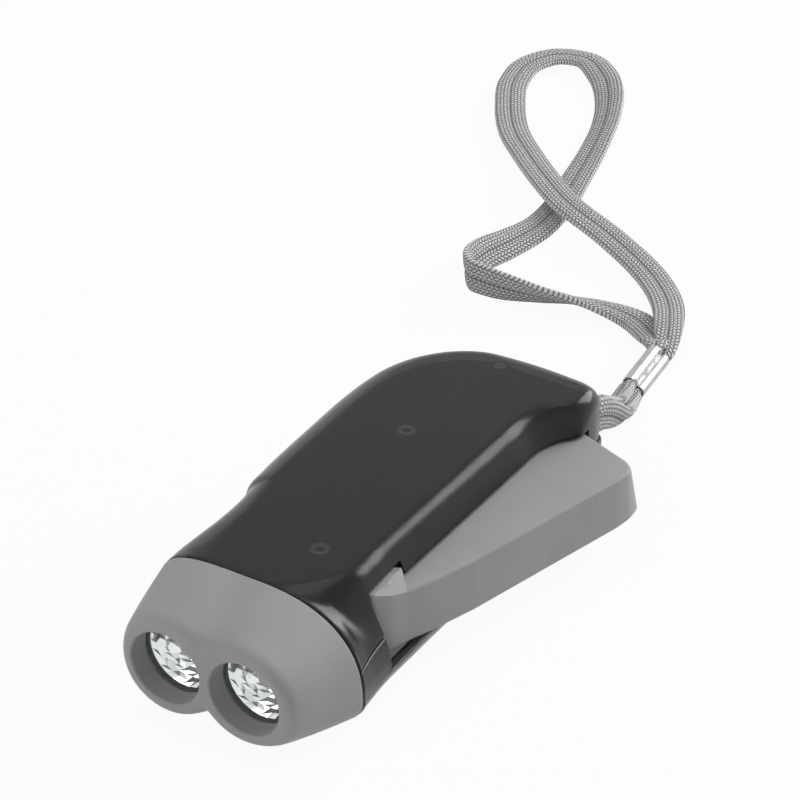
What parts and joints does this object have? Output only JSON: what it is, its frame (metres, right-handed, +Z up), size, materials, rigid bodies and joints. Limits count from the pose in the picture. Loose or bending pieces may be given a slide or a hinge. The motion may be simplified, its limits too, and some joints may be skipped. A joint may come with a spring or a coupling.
{
  "type": "squeeze dynamo torch",
  "caption": "Hand-squeezed dynamo torch: smoky oval shell, grey twin-barrel nose, side press lever on a gear train, slide switch and braided wrist strap.",
  "frame": {"origin": "on the flat underside, on the middle plane of the nose, 60 mm behind the nose's front", "axes": "+Y from the nose to the tail, +X towards the press lever, +Z up through the shells; the beams point along -Y"},
  "size_m": [0.1237, 0.2732, 0.024],
  "materials": {
    "smoky_shell": "dark smoky plastic, polished, faintly see-through",
    "grey_trim": "mid grey plastic, fine satin grain",
    "window": "clear flat window",
    "lamp": "clear cast lamp body",
    "mirror_cup": "mirror-coated plastic",
    "board": "green circuit board",
    "dark_plastic": "dark grey plastic",
    "steel": "drawn steel",
    "white_nylon": "natural white nylon",
    "iron": "dark sintered metal",
    "copper_wire": "enamelled copper wire",
    "cell": "plated steel cans",
    "wire_cover": "soft wire cover",
    "braid": "light grey flat braid",
    "bright_metal": "bright plated crimp"
  },
  "bodies": {
    "body": {"top_shell": "smoky_shell", "bottom_shell": "smoky_shell", "nose_bezel": "grey_trim", "lens_left": "window", "lens_right": "window", "shell_screw_palm": "steel", "shell_screw_lever": "steel", "shell_screw_tail": "steel", "lamp_board": "board", "diode_a": "dark_plastic", "diode_b": "dark_plastic", "diode_c": "dark_plastic", "diode_d": "dark_plastic", "board_capacitor": "dark_plastic", "lever_pin": "steel", "gear_one_shaft": "steel", "gear_two_shaft": "steel", "rotor_shaft": "steel", "bearing_plate": "white_nylon", "plate_screw_rear": "steel", "plate_screw_front": "steel", "stator_core": "iron", "coil_bobbin": "white_nylon", "coil_winding": "copper_wire", "battery_pack": "cell", "battery_clip": "steel", "switch_body": "dark_plastic", "battery_wire": "wire_cover", "coil_wire": "wire_cover", "return_spring": "steel", "reflector_left": "mirror_cup", "reflector_right": "mirror_cup", "led_left": "lamp", "led_right": "lamp", "strap_bar": "steel", "strap_tail": "braid", "strap_ferrule": "bright_metal", "strap_loop": "braid"},
    "lever": {"lever": "grey_trim", "drive_sector": "white_nylon", "sector_screw_inner": "steel", "sector_screw_outer": "steel"},
    "gear_one": {"gear_one": "white_nylon"},
    "gear_two": {"gear_two": "white_nylon"},
    "rotor": {"flywheel": "iron", "ring_magnet": "iron"},
    "switch_knob": {"switch_knob": "dark_plastic"}
  },
  "joints": [
    {"name": "rotor_spin", "type": "hinge", "parent": "body", "child": "rotor", "pos_m": [-0.00513, -0.01577, 0.0115], "axis": [0, 0, 1], "range_deg": [-1275.75, 0]},
    {"name": "lever_press", "type": "hinge", "parent": "body", "child": "lever", "pos_m": [0.0122, -0.027, 0.0115], "axis": [0, 0, 1], "range_deg": [0, 13.5], "stiffness_Nm_per_rad": 0.5, "springref_deg": -17.19, "deforming": ["return_spring"]},
    {"name": "gear_one_spin", "type": "hinge", "parent": "body", "child": "gear_one", "pos_m": [-0.00115, 0.01071, 0.0142], "axis": [0, 0, 1], "range_deg": [-121.5, 0]},
    {"name": "gear_two_spin", "type": "hinge", "parent": "body", "child": "gear_two", "pos_m": [-0.00563, -0.00298, 0.0142], "axis": [0, 0, 1], "range_deg": [0, 425.25]},
    {"name": "switch_slide", "type": "slide", "parent": "body", "child": "switch_knob", "axis": [0, 1, 0], "range_m": [0, 0.0025]}
  ],
  "couplings": [
    {"joint": "lever_press", "follows": "rotor_spin", "ratio": -0.010582},
    {"joint": "gear_one_spin", "follows": "rotor_spin", "ratio": 0.095238},
    {"joint": "gear_two_spin", "follows": "rotor_spin", "ratio": -0.33333}
  ]
}
